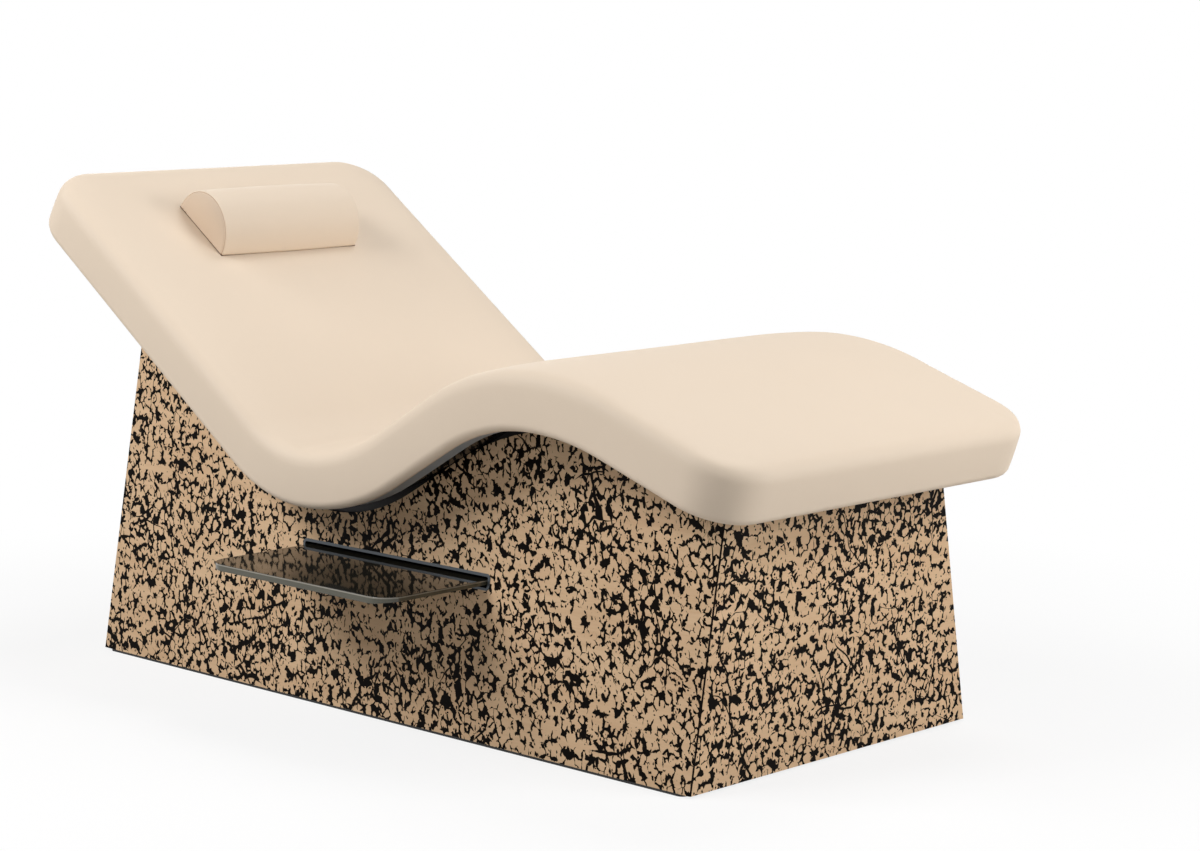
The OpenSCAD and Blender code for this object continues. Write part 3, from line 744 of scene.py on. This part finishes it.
def mattress_outline(m, inset, head, foot):
    """One ring of the mattress laid flat, after its +Y half from head to foot.

    The ring follows that half, the foot end, the -Y half and the head end.
    """
    radius = max(m.corner_radius - inset, LEAST_CORNER)
    side = m.width / 2 - inset - radius
    first, last = head + inset + radius, foot - inset - radius
    half = [(first - radius * math.cos(a), side + radius * math.sin(a)) for a in quarter_turn()]
    reach = m.crown_run + STRAIGHT_START
    half += [(s, side + radius) for s in spread(head + reach, foot - reach, m.spacing)]
    half += [(last + radius * math.sin(a), side + radius * math.cos(a)) for a in quarter_turn()]
    steps = [side * (1 - 2 * k / ACROSS) for k in range(1, ACROSS)]
    foot_end = [(last + radius, y) for y in steps]
    head_end = [(first - radius, -y) for y in steps]
    return half, half + foot_end + [(s, -y) for s, y in reversed(half)] + head_end


def mattress_levels(m):
    """Insets and heights from the recess under the mattress over its side to the top."""
    inner = m.draft + m.low_radius + m.skirt_flat
    ease, rise = RECESS_EASE
    levels = [(inner, m.recess), (inner, rise), (inner - ease, 0.0)]
    low, high = m.low_radius, m.thickness - m.top_radius
    for a in quarter_turn():
        levels.append((m.draft + low * (1 - math.sin(a)), low * (1 - math.cos(a))))
    for up in [k / SIDE_STEPS for k in range(1, SIDE_STEPS)]:
        bulge = m.side_swell * math.sin(math.pi * up)
        levels.append((m.draft * (1 - up) - bulge, low + (high - low) * up))
    for a in quarter_turn():
        levels.append((m.top_radius * (1 - math.cos(a)), high + m.top_radius * math.sin(a)))
    run = m.crown_run - m.top_radius
    for inward in [k / SIDE_STEPS for k in range(1, SIDE_STEPS + 1)]:
        crown = m.crown * (1 - (1 - inward) ** 2)
        levels.append((m.top_radius + run * inward, m.thickness + crown))
    return levels


def mattress_ends(m, wave):
    """Lengths along the wave at which the mattress begins and ends."""
    base_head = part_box("head_end_panel")[0].x
    base_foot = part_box("foot_end_panel")[1].x
    head = wave.length_at(base_head - m.head_overhang, 0.0)
    foot = wave.length_at(base_foot + m.foot_overhang, wave.leg_start)
    return head, foot


def held_share(m, inset, n):
    """1 where the cloth is held, 0 on the open top, and between them over the rounded edge."""
    if n <= m.thickness - m.top_radius:
        return 1
    return max(0, min(1, HOLD_START - (inset + HOLD_SHIFT) / m.top_radius))


def close_ring(drawn, ring, half, wave, n, upward):
    """Fills a ring of the mattress, n above the wave, with a grid. Gives the points it adds."""
    rows = len(half)
    grid, added = [], []
    for i, (s, y) in enumerate(half):
        if i == 0:
            inner = list(reversed(ring[2 * rows + ACROSS - 1 :]))
        elif i == rows - 1:
            inner = ring[rows : rows + ACROSS - 1]
        else:
            places = [y * (1 - 2 * k / ACROSS) for k in range(1, ACROSS)]
            inner = [drawn.verts.new(wave.point(s, place, n)) for place in places]
            added += inner
        grid.append([ring[i], *inner, ring[2 * rows + ACROSS - 2 - i]])
    for a, b in zip(grid, grid[1:]):
        for k in range(ACROSS):
            corners = (a[k], a[k + 1], b[k + 1], b[k])
            drawn.faces.new(corners[::-1] if upward else corners)
    return added


def mattress_mesh(m, wave):
    """Closed mesh of the mattress: bands of rings, with a grid over the top and in the recess.

    Its first group of weights says how firmly each point is held when the foam puffs the cover.
    """
    head, foot = mattress_ends(m, wave)
    drawn = bmesh.new()
    weights = drawn.verts.layers.deform.verify()
    rings = []
    levels = mattress_levels(m)
    for inset, n in levels:
        _, flat = mattress_outline(m, inset, head, foot)
        rings.append([drawn.verts.new(wave.point(s, y, n)) for s, y in flat])
        for vert in rings[-1]:
            vert[weights][0] = held_share(m, inset, n)
    count = len(rings[0])
    for low, high in zip(rings, rings[1:]):
        for i in range(count):
            j = (i + 1) % count
            drawn.faces.new((low[j], low[i], high[i], high[j]))
    for ring, (inset, n), upward in ((rings[0], levels[0], False), (rings[-1], levels[-1], True)):
        half, _ = mattress_outline(m, inset, head, foot)
        for vert in close_ring(drawn, ring, half, wave, n, upward):
            vert[weights][0] = 0 if upward else 1
    bmesh.ops.recalc_face_normals(drawn, faces=drawn.faces)
    mesh = finished_mesh(drawn, "mattress_cover")
    mesh.shade_smooth()
    return mesh


def bolster_profile(b):
    """Radius, place along the axis and share of seam.

    The profile runs from the middle of an end over its edge to the middle of the barrel.
    """
    half, e = b.width / 2, b.edge_radius
    points = [((b.radius - e) * k / END_RINGS, half, 0) for k in range(1, END_RINGS + 1)]
    for k in range(1, EDGE_RINGS + 1):
        turn = math.pi / 2 * k / EDGE_RINGS
        off = e * (turn - b.seam_turn) / (b.seam_width / 2)
        seam = math.exp(-off * off)
        reach = e - b.seam_depth * seam
        outward, along = reach * math.sin(turn), reach * math.cos(turn)
        points.append((b.radius - e + outward, half - e + along, seam))
    for y in spread(half - e, 0, BARREL_SPACING)[1:]:
        points.append((b.radius + b.crown * (1 - (y / (half - e)) ** 2), y, 0))
    return points


def bolster_mesh(b, place):
    """Half-round cushion with a sewn line round each swollen end.

    The lines take the second finish, leather with painted shade, and the ends take the third, the
    leather darkened with painted shade.
    """
    profile = bolster_profile(b)
    profile += [(r, -y, seam) for r, y, seam in reversed(profile[:-1])]
    turns = [math.pi * k / BARREL_STEPS for k in range(BARREL_STEPS + 1)]
    drawn = bmesh.new()
    inner_radius = b.radius - b.edge_radius

    def point(r, y, turn):
        """A point of the cover. An end swells towards its middle and stays straight at the base."""
        side, up = -r * math.cos(turn), r * math.sin(turn)
        if r < inner_radius:
            bulge = (1 - (r / inner_radius) ** 2) * up / b.radius
            y += math.copysign(DOME_SCALE * b.dome * bulge, y)
        return drawn.verts.new((side, y, up))

    rows, lines = [], []
    for r, y, _ in profile:
        row = [point(r, y, turn) for turn in turns]
        first, last = row[0].co, row[-1].co
        inner = [drawn.verts.new(first.lerp(last, k / BASE_STEPS)) for k in range(1, BASE_STEPS)]
        rows.append(row)
        lines.append([row[0], *inner, row[-1]])
    for i in range(len(profile) - 1):
        sewn = (profile[i][2] + profile[i + 1][2]) / 2 > SEWN_SHARE
        end = max(profile[i][0], profile[i + 1][0]) <= inner_radius + NEARLY
        for k in range(BARREL_STEPS):
            corners = (rows[i][k], rows[i][k + 1], rows[i + 1][k + 1], rows[i + 1][k])
            drawn.faces.new(corners).material_index = 1 if sewn else 2 if end else 0
        for k in range(BASE_STEPS):
            drawn.faces.new((lines[i][k + 1], lines[i][k], lines[i + 1][k], lines[i + 1][k + 1]))
    for row, line in ((rows[0], lines[0]), (rows[-1], lines[-1])):
        drawn.faces.new([*row, *reversed(line[1:-1])]).material_index = 2
    bmesh.ops.recalc_face_normals(drawn, faces=drawn.faces)
    mesh = finished_mesh(drawn, "bolster_cover", place)
    mesh.shade_smooth()
    return mesh


def grip_pad_mesh(b, place):
    """Thin pad with eased edges under the bolster."""
    drawn = bmesh.new()
    bmesh.ops.create_cube(drawn, size=1)
    sides = (2 * (b.radius - b.pad_inset), b.width - 2 * b.pad_inset, b.pad_thickness)
    for vert in drawn.verts:
        vert.co = (vert.co.x * sides[0], vert.co.y * sides[1], (vert.co.z - 0.5) * sides[2])
    bmesh.ops.bevel(
        drawn, geom=drawn.edges, offset=b.pad_edge, segments=2, profile=0.5, affect="EDGES"
    )
    return finished_mesh(drawn, "grip_pad", place)


def rounded_copy(node, name, radius):
    """A piece's own mesh with its sharp edges rounded."""
    drawn = bmesh.new()
    drawn.from_mesh(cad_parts[node].data)
    bmesh.ops.remove_doubles(drawn, verts=drawn.verts, dist=JOIN_DISTANCE)
    bmesh.ops.dissolve_limit(drawn, angle_limit=FLAT_ANGLE, verts=drawn.verts, edges=drawn.edges)
    sharp = [e for e in drawn.edges if e.is_manifold and e.calc_face_angle(0) > SHARP_ANGLE]
    rounded = bmesh.ops.bevel(
        drawn,
        geom=sharp,
        offset=radius,
        offset_type="OFFSET",
        segments=3,
        profile=0.5,
        affect="EDGES",
    )
    for face in drawn.faces:
        face.smooth = False
    for face in rounded["faces"]:
        face.smooth = True
    return finished_mesh(drawn, name)


def nosing_path(t, low, high):
    """Place along X, distance behind the front edge, and turn of the path of the tray's lip."""
    radius = t.corner_radius
    first, last = low.x + radius, high.x - radius
    turns = [t.nosing_turn * k / TURN_STEPS for k in range(TURN_STEPS, 0, -1)]
    backs = [radius - radius * math.cos(a) for a in turns]
    path = [(first - radius * math.sin(a), back, a) for a, back in zip(turns, backs)]
    path += [(x, 0, 0) for x in spread(first, last, NOSING_SPACING)]
    path += [(last + radius * math.sin(a), back, -a) for a, back in zip(turns[::-1], backs[::-1])]
    return path


def nosing_mesh(t):
    """Lip under the tray's front edge. It runs round both corners and thins out there."""
    low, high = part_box("tray_plate")
    width, edge = t.nosing_width, t.edge_radius
    drawn = bmesh.new()
    rings = []
    for x, back, turn in nosing_path(t, low, high):
        drop = t.nosing_drop * max(smooth(1 - abs(turn) / t.nosing_turn), LEAST_DROP)
        ease = min(edge, drop / 3)
        across = Vector((math.sin(turn), math.cos(turn), 0))
        start = Vector((x, low.y + back, low.z)) + across * NOSING_SET_BACK
        section = [(0, edge), (0, ease - drop), (ease * 0.3, ease * 0.3 - drop)]
        section += [(ease, -drop), (width - ease, -drop), (width, ease - drop), (width, edge)]
        places = [start + across * d + Vector((0, 0, up)) for d, up in section]
        rings.append([drawn.verts.new(place) for place in places])
    for a, b in zip(rings, rings[1:]):
        for k in range(len(a)):
            j = (k + 1) % len(a)
            drawn.faces.new((a[k], a[j], b[j], b[k]))
    drawn.faces.new(rings[0])
    drawn.faces.new(rings[-1])
    bmesh.ops.recalc_face_normals(drawn, faces=drawn.faces)
    return finished_mesh(drawn, "tray_nosing")


# Operators

# Azimuth and elevation of each lamp, in degrees
LAMPS = {
    "near_high": (-105, 38),
    "near_head": (-135, 38),
    "near_low": (-65, 12),
    "foot_high": (15, 38),
    "foot_low": (30, 12),
    "far_top": (90, 68),
    "far_low": (150, 14),
}
# Half the width of the floor's fade from shadow to glow, as a distance squared in square metres
FLOOR_FADE = 1.4


class LOUNGER_OT_panels(bpy.types.Operator):
    """Printed panels round the base"""

    bl_idname = "lounger.panels"
    bl_label = "Printed panels"

    def execute(self, context):
        dress(PANELS, printed_wood(context.scene.lounger_colours))
        return {"FINISHED"}


class LOUNGER_OT_carcass(bpy.types.Operator):
    """Boards, battens and floor board inside the base"""

    bl_idname = "lounger.carcass"
    bl_label = "Carcass"

    def execute(self, context):
        colours = context.scene.lounger_colours
        dress(BLACK_BOARDS, black_board(colours))
        dress(PLAIN_BOARDS, plain_wood(colours))
        dress(["floor_board"], moulded("black_plastic", colours.black, 0.6))
        return {"FINISHED"}


class LOUNGER_OT_shell(bpy.types.Operator):
    """Curved plate under the mattress, its rim and its bolts"""

    bl_idname = "lounger.shell"
    bl_label = "Shell"

    def execute(self, context):
        colours = context.scene.lounger_colours
        dress(["support_shell"], lacquer("dark_laminate", colours.shell, 0.16))
        # The rim's grey is partly its own colour and partly painted light
        dress(["shell_rim"], lacquer("grey_laminate", colours.rim, 0.3))
        dress(["shell_bolts"], metal("zinc_steel", colours.zinc, 0.4))
        return {"FINISHED"}


class LOUNGER_OT_tray(bpy.types.Operator):
    """Smoked tray, the trim round its slot and the runners inside"""

    bl_idname = "lounger.tray"
    bl_label = "Tray"

    def execute(self, context):
        colours = context.scene.lounger_colours
        sizes = context.scene.lounger_tray
        acrylic = smoked(colours, sizes.highlight_line)
        leaf_mesh = rounded_copy("tray_plate", "tray_leaf", sizes.edge_radius)
        leaf = piece_from(leaf_mesh, [acrylic], "tray")
        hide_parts("tray_plate")
        piece_from(nosing_mesh(sizes), [acrylic], "tray")
        trim_mesh = rounded_copy("slot_trim", "slot_frame", sizes.trim_edge)
        trim = piece_from(trim_mesh, [metal("trim_metal", colours.trim, 0.34)])
        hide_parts("slot_trim")
        dress(["tray_runners"], metal("runner_metal", colours.channel, 0.42))
        dress(["runner_screws"], metal("screw_steel", colours.zinc, 0.4))
        dress(PLASTIC_PIECES, moulded("mechanism_plastic", colours.black, 0.5))
        dress(["rear_buffers"], moulded("black_rubber", colours.black, 0.8))
        return {"FINISHED"}


class LOUNGER_OT_mattress(bpy.types.Operator):
    """Upholstered wave mattress"""

    bl_idname = "lounger.mattress"
    bl_label = "Mattress"

    def execute(self, context):
        scene = context.scene
        sizes = scene.lounger_mattress
        mesh = mattress_mesh(sizes, Wave(scene.lounger_wave))
        leather = upholstery(scene.lounger_colours.upholstery)
        cover = piece_from(mesh, [leather], puff=sizes.puff)
        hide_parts("mattress")
        return {"FINISHED"}


class LOUNGER_OT_bolster(bpy.types.Operator):
    """Half-round head bolster and its grip pad"""

    bl_idname = "lounger.bolster"
    bl_label = "Bolster"

    def execute(self, context):
        scene = context.scene
        colours = scene.lounger_colours
        sizes = scene.lounger_bolster
        wave = Wave(scene.lounger_wave)
        head, _ = mattress_ends(scene.lounger_mattress, wave)
        _, heading = wave.pose(head + sizes.from_head)
        middle = wave.point(head + sizes.from_head, sizes.shift, sizes.foot)
        place = Matrix.Translation(middle) @ Matrix.Rotation(-heading, 4, "Y")
        # The second and third leathers carry painted shade: in the sewn lines and on the ends
        leathers = [upholstery(c) for c in (colours.upholstery, colours.seam, colours.bolster_end_shade)]
        mesh = bolster_mesh(sizes, place)
        cover = piece_from(mesh, leathers, "bolster")
        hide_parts("bolster_cushion")
        grip = moulded("brown_grip", colours.grip, 0.85)
        pad = piece_from(grip_pad_mesh(sizes, place), [grip], "bolster")
        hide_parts("bolster_grip_pad")
        return {"FINISHED"}


class LOUNGER_OT_studio(bpy.types.Operator):
    """Camera, lamps, world and floor"""

    bl_idname = "lounger.studio"
    bl_label = "Studio"

    def execute(self, context):
        scene = context.scene
        studio = scene.lounger_studio
        self.add_camera(scene, studio)
        self.add_world(scene, studio)
        self.add_floor(scene, studio)
        for name, (azimuth, elevation) in LAMPS.items():
            self.add_lamp(scene, studio, name, math.radians(azimuth), math.radians(elevation))
        scene.view_settings.view_transform = "Standard"
        return {"FINISHED"}

    def add_camera(self, scene, studio):
        """The camera of the photograph."""
        data = bpy.data.cameras.new("camera")
        data.lens = studio.lens
        data.sensor_width = 36
        data.clip_end = 100
        camera = bpy.data.objects.new("camera", data)
        back = Vector(
            (
                math.sin(studio.azimuth) * math.cos(studio.elevation),
                -math.cos(studio.azimuth) * math.cos(studio.elevation),
                math.sin(studio.elevation),
            )
        )
        camera.rotation_mode = "QUATERNION"
        aim = (-back).to_track_quat("-Z", "Y")
        camera.rotation_quaternion = aim @ Quaternion((0, 0, 1), studio.roll)
        camera.location = studio.place
        scene.collection.objects.link(camera)
        scene.camera = camera

    def add_world(self, scene, studio):
        """White where it is seen, and an even light of ambient strength on the lounger."""
        scene.world = bpy.data.worlds.new("studio_world")
        scene.world.use_nodes = True
        sky = Nodes(scene.world.node_tree)
        background = sky.tree.nodes["Background"].inputs
        sky.feed(background["Color"], (1, 1, 1))
        sky.feed(background["Strength"], studio.ambient + sky.seen_clearly() * (1 - studio.ambient))

    def add_floor(self, scene, studio):
        """A wide floor that takes the shadow near the lounger and glows white further out."""
        drawn = bmesh.new()
        bmesh.ops.create_grid(drawn, x_segments=1, y_segments=1, size=studio.floor_reach)
        mesh = finished_mesh(drawn, "studio_floor")
        floor = bpy.data.objects.new("studio_floor", mesh)
        scene.collection.objects.link(floor)
        finish = Finish("floor_paint", 0.9, specular=0.0)
        to_camera = finish.seen_by("Is Camera Ray")
        finish.set(Base_Color=finish.blend(to_camera, studio.floor, studio.floor_shown))
        x, y, _ = finish.parts(finish.place())
        away = (x * x + y * y).above(studio.shadow_reach**2, FLOOR_FADE)
        glow_share = studio.floor_glow + away * (1 - studio.floor_glow)
        glow = finish.node("ShaderNodeEmission", inputs={"Color": (1, 1, 1), "Strength": 1.0})
        paint = Number(finish, finish.shader.outputs[0])
        mix = {0: finish.seen_clearly() * glow_share, 1: paint, 2: glow}
        shown = finish.node("ShaderNodeMixShader", inputs=mix)
        finish.feed(finish.tree.nodes["Material Output"].inputs["Surface"], shown)
        mesh.materials.append(finish.material)

    def add_lamp(self, scene, studio, name, azimuth, elevation):
        """A square lamp aimed at the lounger.

        Its azimuth runs from +X, the foot, towards +Y, the far side.
        """
        data = bpy.data.lights.new(name, "AREA")
        data.shape = "SQUARE"
        data.size = studio.lamp_size
        data.energy = getattr(studio, name)
        lamp = bpy.data.objects.new(name, data)
        level = math.cos(elevation)
        out = Vector((level * math.cos(azimuth), level * math.sin(azimuth), math.sin(elevation)))
        lamp.location = Vector((0, 0, studio.lamp_aim)) + studio.lamp_distance * out
        lamp.rotation_mode = "QUATERNION"
        lamp.rotation_quaternion = (-out).to_track_quat("-Z", "Y")
        scene.collection.objects.link(lamp)


class LOUNGER_PT_panel(bpy.types.Panel):
    """Lists the lounger's pieces and its studio"""

    bl_label = "Spa lounger"
    bl_idname = "LOUNGER_PT_panel"
    bl_space_type = "VIEW_3D"
    bl_region_type = "UI"
    bl_category = "Lounger"

    def draw(self, context):
        for operator in OPERATORS:
            self.layout.operator(operator.bl_idname)


SETTINGS = {
    "lounger_wave": WaveSettings,
    "lounger_mattress": MattressSettings,
    "lounger_bolster": BolsterSettings,
    "lounger_tray": TraySettings,
    "lounger_colours": ColourSettings,
    "lounger_studio": StudioSettings,
}
OPERATORS = (
    LOUNGER_OT_panels,
    LOUNGER_OT_carcass,
    LOUNGER_OT_shell,
    LOUNGER_OT_tray,
    LOUNGER_OT_mattress,
    LOUNGER_OT_bolster,
    LOUNGER_OT_studio,
)


def register():
    for kind in (*SETTINGS.values(), *OPERATORS, LOUNGER_PT_panel):
        bpy.utils.register_class(kind)
    for name, kind in SETTINGS.items():
        setattr(bpy.types.Scene, name, PointerProperty(type=kind))


def unregister():
    for name in SETTINGS:
        delattr(bpy.types.Scene, name)
    for kind in reversed((*SETTINGS.values(), *OPERATORS, LOUNGER_PT_panel)):
        bpy.utils.unregister_class(kind)


def main():
    register()
    bpy.ops.lounger.panels()
    bpy.ops.lounger.carcass()
    bpy.ops.lounger.shell()
    bpy.ops.lounger.tray()
    bpy.ops.lounger.mattress()
    bpy.ops.lounger.bolster()
    bpy.ops.lounger.studio()


if __name__ == "__main__":
    main()
